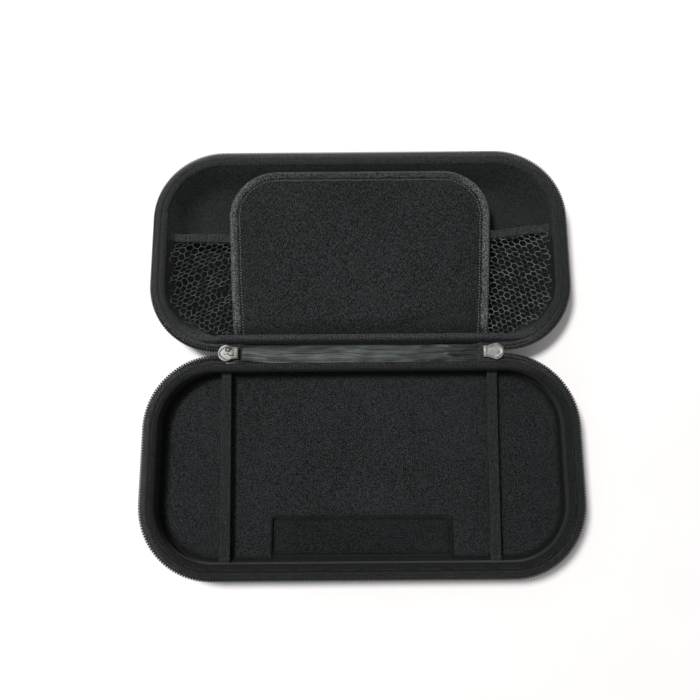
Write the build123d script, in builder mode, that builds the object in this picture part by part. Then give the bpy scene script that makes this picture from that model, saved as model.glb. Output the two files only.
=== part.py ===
from build123d import *
import math
import os

# Portable game console case: a zipped, moulded pouch lying open with its insides up.
# X runs along the hinge, Y from the base half to the lid half, Z up from the table.
# The origin is on the table, under the middle of the hinge strip.

# Moulded halves
rim_length = 260.0
rim_width = 125.0
rim_corner = 40.0
half_depth = 20.0
shell_wall = 3.4
shell_floor = 3.2
draft_angle = 6.0
outer_round = 11.0
inner_round = 7.0

# Liner pad in the base, with its sunken slot
tray_thickness = 3.6
slot_length = 110.0
slot_width = 22.0
slot_depth = 2.4
slot_corner = 2.0
slot_edge = 7.5

# Elastic straps across the base
strap_spacing = 168.0
strap_width = 6.0
strap_cloth = 1.0
strap_rise = 5.2
strap_tuck = 2.0
strap_bend = 1.2

# Rim binding and zip tape
binding_cloth = 0.8
binding_leg = 4.2
tape_cloth = 0.7
tape_overlap = 4.0
tape_reach = 4.7
tape_lean = 40.0
coil_radius = 0.9
coil_sides = 8

# Hinge strip between the halves
spine_width = 13.0
strip_cloth = 1.0
strip_drop = 0.3

# Zip sliders and their pulls
slider_length = 12.6
slider_nose_width = 10.0
slider_tail_width = 7.0
slider_neck = 2.4
slider_shoulder = 6.2
slider_plate = 1.2
slider_throat = 2.6
slider_flange = 1.0
post_length = 3.4
post_width = 2.2
ear_thickness = 1.0
ear_radius = 1.5
pin_radius = 0.8
pin_drop = 2.3
pull_width = 4.6
pull_neck = 4.0
pull_length = 13.4
pull_thickness = 1.4
pull_corner = 1.5
pull_eye = 1.15
pull_barrel = 1.9
pull_window_length = 4.4
pull_window_width = 1.8
chain_width = 11.0

# Net pocket in the lid
pocket_reach = 73.5
mesh_cloth = 0.8
mesh_margin = 5.0
mesh_columns = 20
mesh_rows = 3
mesh_thread = 1.5
hem_width = 4.5
hem_thickness = 1.8

# Padded flap over the pocket
flap_tip_gap = 2.2
flap_neck = 17.5
flap_shoulder = 5.0
flap_wide = 167.0
flap_free_width = 174.0
flap_corner = 31.0
flap_pad = 2.2
flap_cloth = 0.4
flap_binding_width = 5.6
flap_lift = 0.6

# Clearances
glue_gap = 0.2
sewn_gap = 0.1
turn_gap = 0.3
slider_gap = 0.4
strip_end_gap = 0.6
flap_side_gap = 1.6

# Worked out from the sizes above
slope = math.tan(math.radians(draft_angle))
rim_z = half_depth - binding_cloth
half_y = spine_width / 2 + rim_width / 2


def cavity_inset(z):
    """How far the inner wall stands in from the rim outline at a height."""
    return shell_wall + (rim_z - z) * slope


tray_top = shell_floor + tray_thickness
leg_bottom = rim_z - binding_leg
strip_z = half_depth - strip_drop - strip_cloth / 2
slider_nose = rim_length / 2 - rim_corner - slider_gap
slider_tail = slider_nose - slider_length
strip_end = slider_tail - strip_end_gap
slider_half_height = slider_throat / 2 + slider_plate
flap_seam_width = 2 * (slider_tail - flap_side_gap)
flap_thickness = flap_pad + 2 * flap_cloth
flap_top = half_depth + flap_lift
flap_low = flap_top - flap_thickness
lid_lip = cavity_inset(flap_low) + sewn_gap + binding_cloth
flap_seam_y = spine_width / 2 + lid_lip + turn_gap
flap_tip_y = spine_width / 2 + rim_width - lid_lip - flap_tip_gap

# Each half has its own plane, with local +Y towards the hinge
base_half = Plane(origin=(0, -half_y, 0), x_dir=(1, 0, 0), z_dir=(0, 0, 1))
lid_half = Plane(origin=(0, half_y, 0), x_dir=(-1, 0, 0), z_dir=(0, 0, 1))


def cavity_form(half, gap):
    """The space inside one half, drawn in from its walls by a gap."""
    inset = 2 * (shell_wall + gap)
    with BuildPart() as form:
        with BuildSketch(half.offset(rim_z)):
            RectangleRounded(rim_length - inset, rim_width - inset, rim_corner - inset / 2)
        extrude(amount=shell_floor - rim_z, taper=draft_angle)
        fillet(form.faces().sort_by(Axis.Z)[0].edges(), radius=inner_round)
    return form.part


def moulded_shell(half):
    """One foam half: drafted walls, rounded foot, open top."""
    cavity = cavity_form(half, 0)
    with BuildPart() as shell:
        with BuildSketch(half.offset(rim_z)):
            RectangleRounded(rim_length, rim_width, rim_corner)
        extrude(amount=-rim_z, taper=draft_angle)
        fillet(shell.faces().sort_by(Axis.Z)[0].edges(), radius=outer_round)
        add(cavity, mode=Mode.SUBTRACT)
    return shell


def rim_path(half):
    """The rim outline, once round from the middle of the side away from the hinge."""
    long_run = rim_length - 2 * rim_corner
    short_run = rim_width - 2 * rim_corner
    with BuildLine() as path:
        run = Line((0, -rim_width / 2), (long_run / 2, -rim_width / 2))
        for length in (short_run, long_run, short_run, long_run / 2):
            turn = JernArc(start=run @ 1, tangent=run % 1, radius=rim_corner, arc_size=90)
            run = PolarLine(start=turn @ 1, length=length, direction=turn % 1)
    return half.from_local_coords(path.line)


def rim_section(half):
    """The plane of a section of the rim: local x runs inwards, local y up."""
    start = half.from_local_coords((0, -rim_width / 2, 0))
    return Plane(origin=start, x_dir=half.y_dir, z_dir=half.x_dir)


def rim_binding(half):
    """Fabric folded over the rim: a cap on the edge and a leg down the inner wall."""
    path = rim_path(half)
    leg_run = binding_leg * slope
    with BuildPart() as binding:
        with BuildSketch(rim_section(half)):
            with BuildLine():
                Polyline(
                    (0, rim_z),
                    (shell_wall + sewn_gap, rim_z),
                    (shell_wall + sewn_gap + leg_run, leg_bottom),
                    (shell_wall + sewn_gap + binding_cloth + leg_run, leg_bottom),
                    (shell_wall + sewn_gap + binding_cloth, half_depth),
                    (0, half_depth),
                    close=True,
                )
            make_face()
        sweep(path=path)
    return binding


def tape_points():
    """Middle line of the zip tape's section: sewn foot, rim edge, free edge."""
    edge = -(sewn_gap + tape_cloth / 2)
    lean = math.radians(tape_lean)
    foot = (edge + tape_overlap * slope, rim_z - tape_overlap)
    bend = (edge, rim_z)
    tip = (edge - tape_reach * math.sin(lean), rim_z + tape_reach * math.cos(lean))
    return foot, bend, tip


def open_at_hinge(half):
    """The stretch of the hinge side that the zip leaves to the sliders and the strip."""
    with BuildPart() as stretch:
        with BuildSketch(half):
            with Locations((0, rim_width / 2)):
                Rectangle(rim_length - 2 * rim_corner, rim_width / 2)
        extrude(amount=2 * half_depth)
    return stretch.part


def zip_tape(half):
    """Tape sewn outside the rim and leaning out above it."""
    path = rim_path(half)
    gap = open_at_hinge(half)
    with BuildPart() as tape:
        with BuildSketch(rim_section(half)):
            with BuildLine():
                Polyline(*tape_points())
            trace(line_width=tape_cloth)
        sweep(path=path)
        add(gap, mode=Mode.SUBTRACT)
    return tape


def zip_coil(half):
    """The bead of coil teeth along the free edge of the tape."""
    path = rim_path(half)
    gap = open_at_hinge(half)
    _, _, tip = tape_points()
    lean = math.radians(tape_lean)
    reach = coil_radius + sewn_gap
    centre = (tip[0] - reach * math.sin(lean), tip[1] + reach * math.cos(lean))
    with BuildPart() as coil:
        with BuildSketch(rim_section(half)):
            with Locations(centre):
                RegularPolygon(coil_radius, coil_sides)
        sweep(path=path)
        add(gap, mode=Mode.SUBTRACT)
    return coil


def elastic_strap(x):
    """An elastic band from wall to wall, its ends turned up under the binding."""
    low = tray_top + strap_rise + strap_cloth / 2
    high = low + strap_tuck
    low_y = rim_width / 2 - cavity_inset(low) - glue_gap - strap_cloth / 2
    high_y = rim_width / 2 - cavity_inset(high) - glue_gap - strap_cloth / 2
    with BuildPart() as strap:
        with BuildSketch(Plane.YZ.offset(x)):
            with BuildLine():
                FilletPolyline(
                    (-half_y - high_y, high),
                    (-half_y - low_y, low),
                    (-half_y + low_y, low),
                    (-half_y + high_y, high),
                    radius=strap_bend,
                )
            trace(line_width=strap_cloth)
        extrude(amount=strap_width / 2, both=True)
    return strap


def flap_outline(inset, tail):
    """Corner points of the flap, drawn in from its free sides by an inset."""
    seam = flap_seam_width / 2 - inset
    wide = flap_wide / 2 - inset
    free = flap_free_width / 2 - inset
    near = flap_seam_y - tail
    neck = flap_seam_y + flap_neck
    shoulder = neck + flap_shoulder
    far = flap_tip_y - inset
    right = [(seam, near), (seam, neck), (wide, shoulder), (free, far)]
    left = [(-x, y) for x, y in reversed(right)]
    return right + left


def flap_slab(inset, tail, low, high):
    """A slab of the flap's outline between two heights."""
    with BuildPart() as slab:
        with BuildSketch(Plane.XY.offset(low)) as outline:
            Polygon(*flap_outline(inset, tail), align=None)
            fillet(outline.vertices().group_by(Axis.Y)[-1], radius=flap_corner - inset)
        extrude(amount=high - low)
    return slab


def pocket_outline(mesh_low):
    """Size and corner of the lid's inner outline at the net's height."""
    inset = cavity_inset(mesh_low) + glue_gap
    return rim_length - 2 * inset, rim_width - 2 * inset, rim_corner - inset


# Base half
base_shell = moulded_shell(base_half)
base_binding = rim_binding(base_half)
base_zip_tape = zip_tape(base_half)
base_zip_coil = zip_coil(base_half)

tray_form = cavity_form(base_half, glue_gap)
with BuildPart() as base_tray:
    add(tray_form)
    split(bisect_by=Plane.XY.offset(tray_top), keep=Keep.BOTTOM)
    with BuildSketch(base_half.offset(tray_top)):
        with Locations((0, slot_edge + slot_width / 2 - rim_width / 2)):
            RectangleRounded(slot_length, slot_width, slot_corner)
    extrude(amount=-slot_depth, mode=Mode.SUBTRACT)

strap_left = elastic_strap(-strap_spacing / 2)
strap_right = elastic_strap(strap_spacing / 2)

# Lid half
lid_shell = moulded_shell(lid_half)
lid_binding = rim_binding(lid_half)
lid_zip_tape = zip_tape(lid_half)
lid_zip_coil = zip_coil(lid_half)

mesh_top = leg_bottom - glue_gap
mesh_low = mesh_top - mesh_cloth
pocket_length, pocket_width, pocket_corner = pocket_outline(mesh_low)
hem_y = rim_width / 2 - pocket_reach
mesh_depth = pocket_width / 2 - hem_y - hem_width / 2
mesh_pitch_x = pocket_length / mesh_columns
mesh_pitch_y = mesh_depth / mesh_rows
with BuildSketch(lid_half.offset(mesh_low)) as mesh_gaps:
    with Locations((0, hem_y + hem_width / 2 + mesh_depth / 2)):
        with GridLocations(mesh_pitch_x, mesh_pitch_y, mesh_columns, mesh_rows):
            Polygon(
                (mesh_pitch_x / 2 - mesh_thread / 2, 0),
                (0, mesh_pitch_y / 2 - mesh_thread),
                (mesh_thread / 2 - mesh_pitch_x / 2, 0),
                (0, mesh_thread - mesh_pitch_y / 2),
            )
        with GridLocations(mesh_pitch_x, mesh_pitch_y, mesh_columns - 1, mesh_rows - 1):
            Polygon(
                (mesh_pitch_x / 2 - mesh_thread / 2, 0),
                (0, mesh_pitch_y / 2 - mesh_thread),
                (mesh_thread / 2 - mesh_pitch_x / 2, 0),
                (0, mesh_thread - mesh_pitch_y / 2),
            )
    RectangleRounded(
        pocket_length - 2 * mesh_margin,
        pocket_width - 2 * mesh_margin,
        pocket_corner - mesh_margin,
        mode=Mode.INTERSECT,
    )
with BuildPart() as mesh_pocket:
    with BuildSketch(lid_half.offset(mesh_low)):
        RectangleRounded(pocket_length, pocket_width, pocket_corner)
        with Locations((0, hem_y + hem_width / 2 + mesh_depth / 2)):
            Rectangle(pocket_length, mesh_depth, mode=Mode.INTERSECT)
        add(mesh_gaps.sketch_local, mode=Mode.SUBTRACT)
    extrude(amount=mesh_cloth)

hem_low = mesh_top - hem_thickness
hem_length, hem_outline_width, hem_corner = pocket_outline(hem_low)
with BuildPart() as mesh_elastic:
    with BuildSketch(lid_half.offset(hem_low)):
        RectangleRounded(hem_length, hem_outline_width, hem_corner)
        with Locations((0, hem_y)):
            Rectangle(hem_length, hem_width, mode=Mode.INTERSECT)
    extrude(amount=hem_thickness)

# Padded flap
flap_panel = flap_slab(flap_cloth, 0, flap_low + flap_cloth, flap_top - flap_cloth)
flap_window = flap_slab(flap_binding_width, flap_binding_width, flap_low, flap_top)
flap_binding = flap_slab(0, 0, flap_low, flap_top)
with flap_binding:
    add(flap_window.part, mode=Mode.SUBTRACT)
    add(flap_panel.part, mode=Mode.SUBTRACT)

# Hinge strip with rounded long edges
with BuildPart() as hinge_strip:
    with BuildSketch(Plane.YZ):
        with Locations((0, strip_z)):
            SlotOverall(spine_width - 2 * turn_gap, strip_cloth)
    extrude(amount=strip_end, both=True)

# Closed end of the zip, from the strip to the slider's post
post_x = slider_nose - slider_length / 4
with BuildPart() as zip_chain_right:
    with BuildSketch(Plane.YZ.offset(strip_end + turn_gap)):
        with Locations((0, strip_z)):
            Rectangle(chain_width, tape_cloth)
            Circle(coil_radius)
    extrude(amount=post_x - post_length / 2 - strip_end - 2 * turn_gap)

# Slider: two plates with turned edges, joined by the post that parts the teeth
slider_waist = slider_tail + slider_neck
slider_widest = slider_tail + slider_shoulder
with BuildPart() as slider_right:
    with BuildSketch(Plane.XY.offset(strip_z - slider_half_height)):
        with BuildLine():
            Polyline(
                (slider_widest, -slider_nose_width / 2),
                (slider_waist, -slider_tail_width / 2),
                (slider_tail, -slider_tail_width / 2),
                (slider_tail, slider_tail_width / 2),
                (slider_waist, slider_tail_width / 2),
                (slider_widest, slider_nose_width / 2),
            )
            ThreePointArc(
                (slider_widest, slider_nose_width / 2),
                (slider_nose, 0),
                (slider_widest, -slider_nose_width / 2),
            )
        make_face()
    extrude(amount=2 * slider_half_height)
    # Channel for the coil, open at the tail and at both mouths
    with BuildSketch(Plane.XY.offset(strip_z - slider_throat / 2)):
        Polygon(
            (slider_tail, slider_flange - slider_tail_width / 2),
            (slider_waist, slider_flange - slider_tail_width / 2),
            (slider_widest, slider_flange - slider_nose_width / 2),
            (slider_nose, slider_flange - slider_nose_width / 2),
            (slider_nose, slider_nose_width / 2 - slider_flange),
            (slider_widest, slider_nose_width / 2 - slider_flange),
            (slider_waist, slider_tail_width / 2 - slider_flange),
            (slider_tail, slider_tail_width / 2 - slider_flange),
            align=None,
        )
    extrude(amount=slider_throat, mode=Mode.SUBTRACT)
    # Slits for the tape along both edges
    with BuildSketch(Plane.YZ.offset(slider_tail)):
        with Locations((0, strip_z)):
            Rectangle(chain_width + 2 * turn_gap, tape_cloth + 2 * turn_gap)
    extrude(amount=slider_length, mode=Mode.SUBTRACT)
    with BuildSketch(Plane.XY.offset(strip_z - slider_throat / 2)):
        with Locations((post_x, 0)):
            Ellipse(post_length / 2, post_width / 2)
    extrude(amount=slider_throat)
    # Ears and cross pin that carry the pull, on the outer side
    pin_z = strip_z - slider_half_height - pin_drop
    pin_x = slider_tail + slider_length / 2
    ear_y = pull_neck / 2 + turn_gap
    with BuildSketch(Plane.XZ.offset(-ear_y - ear_thickness)):
        with Locations((pin_x, pin_z)):
            Circle(ear_radius)
        with Locations((pin_x, pin_z + pin_drop / 2)):
            Rectangle(2 * ear_radius, pin_drop)
    extrude(amount=ear_thickness)
    with BuildSketch(Plane.XZ.offset(ear_y)):
        with Locations((pin_x, pin_z)):
            Circle(ear_radius)
        with Locations((pin_x, pin_z + pin_drop / 2)):
            Rectangle(2 * ear_radius, pin_drop)
    extrude(amount=ear_thickness)
    with BuildSketch(Plane.XZ):
        with Locations((pin_x, pin_z)):
            Circle(pin_radius)
    extrude(amount=ear_y, both=True)

# Pull tab that hangs on the cross pin
with BuildPart() as pull_right:
    with BuildSketch(Plane.XZ):
        with Locations((pin_x, pin_z)):
            Circle(pull_barrel)
    extrude(amount=pull_neck / 2, both=True)
    with BuildSketch(Plane.YZ.offset(pin_x)):
        with Locations((0, pin_z - pull_barrel)):
            Rectangle(pull_neck, 2 * pull_barrel)
        with Locations((0, pin_z - (pull_barrel + turn_gap + pull_length) / 2)):
            RectangleRounded(pull_width, pull_length - pull_barrel - turn_gap, pull_corner)
        with Locations((0, pin_z - pull_length + pull_corner + pull_window_length / 2)):
            SlotOverall(pull_window_length, pull_window_width, rotation=90, mode=Mode.SUBTRACT)
    extrude(amount=pull_thickness / 2, both=True)
    with BuildSketch(Plane.XZ):
        with Locations((pin_x, pin_z)):
            Circle(pull_eye)
    extrude(amount=pull_neck / 2, both=True, mode=Mode.SUBTRACT)

# The left-hand zip pieces mirror the right-hand ones
with BuildPart() as zip_chain_left:
    mirror(zip_chain_right.part, about=Plane.YZ)
with BuildPart() as slider_left:
    mirror(slider_right.part, about=Plane.YZ)
with BuildPart() as pull_left:
    mirror(pull_right.part, about=Plane.YZ)

pieces = {
    "base_shell": base_shell,
    "base_tray": base_tray,
    "base_binding": base_binding,
    "base_zip_tape": base_zip_tape,
    "base_zip_coil": base_zip_coil,
    "strap_left": strap_left,
    "strap_right": strap_right,
    "lid_shell": lid_shell,
    "lid_binding": lid_binding,
    "lid_zip_tape": lid_zip_tape,
    "lid_zip_coil": lid_zip_coil,
    "mesh_pocket": mesh_pocket,
    "mesh_elastic": mesh_elastic,
    "flap_panel": flap_panel,
    "flap_binding": flap_binding,
    "hinge_strip": hinge_strip,
    "zip_chain_left": zip_chain_left,
    "zip_chain_right": zip_chain_right,
    "slider_left": slider_left,
    "slider_right": slider_right,
    "pull_left": pull_left,
    "pull_right": pull_right,
}
os.makedirs("parts", exist_ok=True)
for name, piece in pieces.items():
    piece.part.label = name
    export_step(piece.part, f"parts/{name}.step")
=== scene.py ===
import math
from contextlib import contextmanager

import bmesh
import bpy
import numpy as np
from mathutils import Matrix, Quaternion, Vector


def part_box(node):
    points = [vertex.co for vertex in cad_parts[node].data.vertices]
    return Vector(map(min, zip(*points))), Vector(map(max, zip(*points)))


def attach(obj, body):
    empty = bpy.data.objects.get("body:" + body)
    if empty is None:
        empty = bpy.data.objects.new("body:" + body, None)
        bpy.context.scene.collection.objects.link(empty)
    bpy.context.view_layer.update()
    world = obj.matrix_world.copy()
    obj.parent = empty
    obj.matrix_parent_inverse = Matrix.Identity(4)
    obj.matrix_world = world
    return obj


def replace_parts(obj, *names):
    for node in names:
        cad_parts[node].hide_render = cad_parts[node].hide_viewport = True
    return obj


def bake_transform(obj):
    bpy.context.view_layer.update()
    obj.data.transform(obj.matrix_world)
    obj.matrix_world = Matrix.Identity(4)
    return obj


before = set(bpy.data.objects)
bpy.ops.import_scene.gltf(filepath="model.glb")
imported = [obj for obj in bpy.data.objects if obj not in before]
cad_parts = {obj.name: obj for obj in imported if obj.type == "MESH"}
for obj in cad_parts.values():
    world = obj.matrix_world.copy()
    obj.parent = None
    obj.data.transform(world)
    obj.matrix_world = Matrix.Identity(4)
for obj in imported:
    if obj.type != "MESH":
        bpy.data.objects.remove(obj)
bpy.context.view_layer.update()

# Portable game console case, lying open with its insides up.
# Lengths are in millimetres and become metres where a mesh is made.
MM = 0.001
scene = bpy.context.scene


def node_box(node):
    """Lowest and highest corner of a solid, in millimetres."""
    low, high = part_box(node)
    return np.array(low) / MM, np.array(high) / MM


# Sizes read from the solids
shell_low, shell_high = node_box("base_shell")
rim_length, rim_width = (shell_high - shell_low)[:2]
rim_z = shell_high[2]
half_y = -(shell_low[1] + shell_high[1]) / 2
tray_low, tray_high = node_box("base_tray")
tray_top = tray_high[2]
flap_low, flap_high = node_box("flap_binding")
hem_low, hem_high = node_box("mesh_elastic")
net_low, net_high = node_box("mesh_pocket")
strip_low, strip_high = node_box("hinge_strip")
slider_low, slider_high = node_box("slider_right")

# Sizes of the moulded halves
rim_corner = 40.0
hinge_gap = half_y - rim_width / 2

# Rim band and zip
band_cloth = 0.8
band_line = [(0.1, 0.1), (-0.7, 0.65), (-2.1, 0.9), (-3.4, 0.65), (-4.05, -0.1),
             (-4.2, -1.6), (-4.35, -2.9), (-4.45, -3.9)]
lid_band_bulge, lid_band_lift, lid_band_dip = 1.0, 1.9, 1.0
raised_from, raised_to = 80.0, 104.0
tape_cloth = 0.7
tape_shape = [(0.1, -3.4), (0.25, -0.7), (0.75, 0.4), (1.8, 0.55), (3.3, -0.45), (4.8, -1.9)]
tape_flat = [(0.1, -3.4), (0.25, -0.7), (0.9, -0.05), (2.2, 0.05), (3.4, 0.0), (4.5, 0.0)]
tape_turn = 34.0
tape_tuck = 5.0
tooth_pitch = 1.65
tooth_height = 3.0
tooth_width = 1.6
tooth_wire = 0.46
tooth_head = 1.6
tooth_flare, tooth_seat, tooth_lift = 1.6, 0.8, 0.5

# Liner slot
slot_length, slot_width, slot_depth = 110.0, 22.0, 2.6
slot_edge = 7.5
slot_corner = 2.0
slot_roll = 3.0
slot_groove = 1.2
cove = 5.5

# Lining of the lid
lining_slope = [(-3.4, 0.1), (-4.8, -0.8), (-8.6, -5.6), (-13.2, -11.6), (-17.8, -15.0), (-23.0, -16.5)]
lining_wall = [(-4.0, -2.0), (-4.6, -4.4), (-4.9, -7.5), (-5.3, -11.0), (-6.4, -14.6), (-9.0, -16.5)]
lining_thickness = 0.4

# Net of six-sided cells, whose rows and knots lie at shares of a cell
net_inset = 5.6
cell = 3.3
row_step, knot_rise = 0.866, 0.289
net_rows, net_columns = 48, 88
thread_radius = 0.21
net_bend = 194.0
pleat_lean = math.radians(30)

# Flap
flap_corner = 31.0
flap_seam_half, flap_free_half = 81.2, 87.2
flap_pull = 1.8
flap_drop = 1.3
flap_band_width, flap_band_height = 5.2, 4.5

# Straps
strap_cloth, strap_ribs = 1.0, 6
strap_sag = 0.25
strap_splay = 1.2
strap_shift = {"strap_left": -0.4, "strap_right": -2.0}

# Hinge strip and zip ends
strip_cloth = 0.36
chain_run, chain_dip, chain_cloth = 30.0, 2.9, 0.6

# Studio, in metres, and the camera, fitted in pixels of the photograph's frame
floor_reach, floor_glow = 3.0, 0.03
surround_strength = 0.3
lamp_place, lamp_size, lamp_power = (-0.95, 0.6, 2.38), 0.6, 72.0
frame_pixels, focal_pixels, shift_pixels = 700, 629, -10.9
sensor_width = 36.0
camera_aim, camera_distance = (0, 1.6, 20.0), 396.0
camera_tilt, camera_roll = math.radians(10.5), math.radians(-0.45)

# Turn of the cloth grain, so that it doesn't line up with the weave of pixels
grain_turn = (0.6, 0.5, 0.55)


def linear(red, green, blue):
    """A screen colour of 0 to 255 as a linear colour."""
    parts = [c / 255 for c in (red, green, blue)]
    return [c / 12.92 if c < 0.04045 else ((c + 0.055) / 1.055) ** 2.4 for c in parts] + [1.0]


# Paths and meshes

class Run:
    """A flat path of straight runs and round corners, read by distance."""

    def __init__(self, corners, radius):
        corners = [np.array(c, float) for c in corners]
        self.parts = []
        start = corners[0]
        for before, corner, after in zip(corners, corners[1:], corners[2:]):
            first = (corner - before) / np.linalg.norm(corner - before)
            second = (after - corner) / np.linalg.norm(after - corner)
            heading = math.atan2(first[1], first[0])
            turn = math.atan2(first[0] * second[1] - first[1] * second[0], first @ second)
            cut = radius * math.tan(abs(turn) / 2)
            into = corner - first * cut
            self.parts.append((np.linalg.norm(into - start), start, heading, 0.0))
            self.parts.append((radius * abs(turn), into, heading, math.copysign(1 / radius, turn)))
            start = corner + second * cut
        last = corners[-1] - start
        self.parts.append((np.linalg.norm(last), start, math.atan2(last[1], last[0]), 0.0))
        self.length = sum(part[0] for part in self.parts)

    def at(self, distance):
        """Place, and the direction out to the right of the path."""
        for length, place, heading, bend in self.parts:
            if distance <= length:
                break
            distance -= length
        if bend:
            turned = heading + distance * bend
            step = (math.sin(turned) - math.sin(heading), math.cos(heading) - math.cos(turned))
            place = place + np.array(step) / bend
            heading = turned
        else:
            place = place + distance * np.array((math.cos(heading), math.sin(heading)))
        return place, np.array((math.sin(heading), -math.cos(heading)))


half_length, half_width = rim_length / 2, rim_width / 2
rim = Run([(0, -half_width), (half_length, -half_width), (half_length, half_width),
           (-half_length, half_width), (-half_length, -half_width), (0, -half_width)], rim_corner)
zip_end = rim.length / 2 - (half_length - rim_corner)
SIDES = {"base": 1.0, "lid": -1.0}


def on_half(half, x, y, z):
    """A point in a half's own plane, placed in the frame."""
    side = SIDES[half]
    return side * x, side * (y - half_y), z


def rim_place(half, distance, out, z):
    """A point beside the rim outline of a half."""
    place, outward = rim.at(distance % rim.length)
    x, y = place + outward * out
    return on_half(half, x, y, z)


def rim_ring(half, distance, line, cloth):
    """The section of a cloth that follows a line beside the rim outline."""
    return [rim_place(half, distance, out, rim_z + up) for out, up in ribbon(line, cloth)]


def ease(value, low, high):
    """0 below low, 1 above high, and a smooth rise between."""
    t = np.clip((value - low) / (high - low), 0, 1)
    return t * t * (3 - 2 * t)


def ripple(distance, *waves):
    """A sum of soft waves, each given as height, length and phase."""
    return sum(height * np.sin(2 * np.pi * distance / length + phase) for height, length, phase in waves)


def smooth_line(points, steps=4):
    """A smooth line through points, with a few steps from each to the next."""
    points = np.array(points, float)
    padded = np.vstack([2 * points[0] - points[1], points, 2 * points[-1] - points[-2]])
    line = []
    for a, b, c, d in zip(padded, padded[1:], padded[2:], padded[3:]):
        for t in np.arange(steps) / steps:
            line.append(b + 0.5 * t * (c - a + t * (2 * a - 5 * b + 4 * c - d + t * (3 * (b - c) + d - a))))
    return np.array(line + [points[-1]])


def ribbon(line, thickness):
    """Closed outline of a cloth section that follows a line, with rounded ends."""
    line = np.array(line, float)
    run = np.gradient(line, axis=0)
    run /= np.linalg.norm(run, axis=1)[:, None]
    side = np.stack([-run[:, 1], run[:, 0]], 1) * thickness / 2
    tip = run * thickness / 2
    return np.vstack([line + side, line[-1] + tip[-1], (line - side)[::-1], line[0] - tip[0]])


def there_and_back(x, y, top, low):
    """A closed row of points, over a cloth and back under it."""
    return [*zip(x, y, top), *zip(x[::-1], y[::-1], low[::-1])]


@contextmanager
def reworked(mesh):
    """A mesh opened for rework, and written back afterwards."""
    work = bmesh.new()
    work.from_mesh(mesh)
    yield work
    work.to_mesh(mesh)
    work.free()


def finish_mesh(mesh, angle=50):
    """Turns the faces outwards and shades them smoothly, apart from sharp edges."""
    with reworked(mesh) as work:
        bmesh.ops.recalc_face_normals(work, faces=work.faces)
    mesh.shade_smooth()
    mesh.set_sharp_from_angle(angle=math.radians(angle))


def new_piece(name, mesh, finish):
    """A mesh as an object in the scene, with its finish."""
    piece = bpy.data.objects.new(name, mesh)
    scene.collection.objects.link(piece)
    if finish is not None:
        mesh.materials.clear()
        mesh.materials.append(finish)
    return piece


def skin(name, rings, along, finish, path_closed=False, ring_closed=True, angle=50):
    """A skin over rows of points. Its UVs run in metres along the path and across the rows."""
    rings = np.array(rings, float)
    rows, columns = rings.shape[:2]
    across = np.concatenate([[0], np.cumsum(np.linalg.norm(np.roll(rings[0], -1, 0) - rings[0], axis=1))])
    along, across = np.array(along) * MM, across * MM
    faces, uvs = [], []
    for i in range(rows if path_closed else rows - 1):
        for j in range(columns if ring_closed else columns - 1):
            k, n = (i + 1) % rows, (j + 1) % columns
            faces.append((i * columns + j, i * columns + n, k * columns + n, k * columns + j))
            uvs += [(along[i], across[j]), (along[i], across[j + 1]),
                    (along[i + 1], across[j + 1]), (along[i + 1], across[j])]
    if ring_closed and not path_closed:
        for row in (0, rows - 1):
            faces.append(tuple(row * columns + j for j in range(columns)))
            uvs += [(along[row], across[j]) for j in range(columns)]
    mesh = bpy.data.meshes.new(name)
    mesh.from_pydata(rings.reshape(-1, 3) * MM, [], faces)
    layer = mesh.uv_layers.new(name="cloth")
    layer.data.foreach_set("uv", np.array(uvs, np.float32).ravel())
    finish_mesh(mesh, angle)
    return new_piece(name, mesh, finish)


def wire(name, points, edges=None, **vectors):
    """A mesh of bare edges, with vector attributes on its points."""
    points = np.array(points, float) * MM
    if edges is None:
        edges = [(i, i + 1) for i in range(len(points) - 1)]
    mesh = bpy.data.meshes.new(name)
    mesh.from_pydata(points, edges, [])
    for key, values in vectors.items():
        attribute = mesh.attributes.new(key, "FLOAT_VECTOR", "POINT")
        attribute.data.foreach_set("vector", np.array(values, np.float32).ravel())
    return mesh


# Node helpers

def add_node(tree, kind, inputs=None, **settings):
    """A node with its settings, its values and its links."""
    node = tree.nodes.new(kind)
    for key, value in settings.items():
        setattr(node, key, value)
    for key, value in (inputs or {}).items():
        if isinstance(value, bpy.types.NodeSocket):
            tree.links.new(value, node.inputs[key])
        else:
            node.inputs[key].default_value = value
    return node


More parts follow.
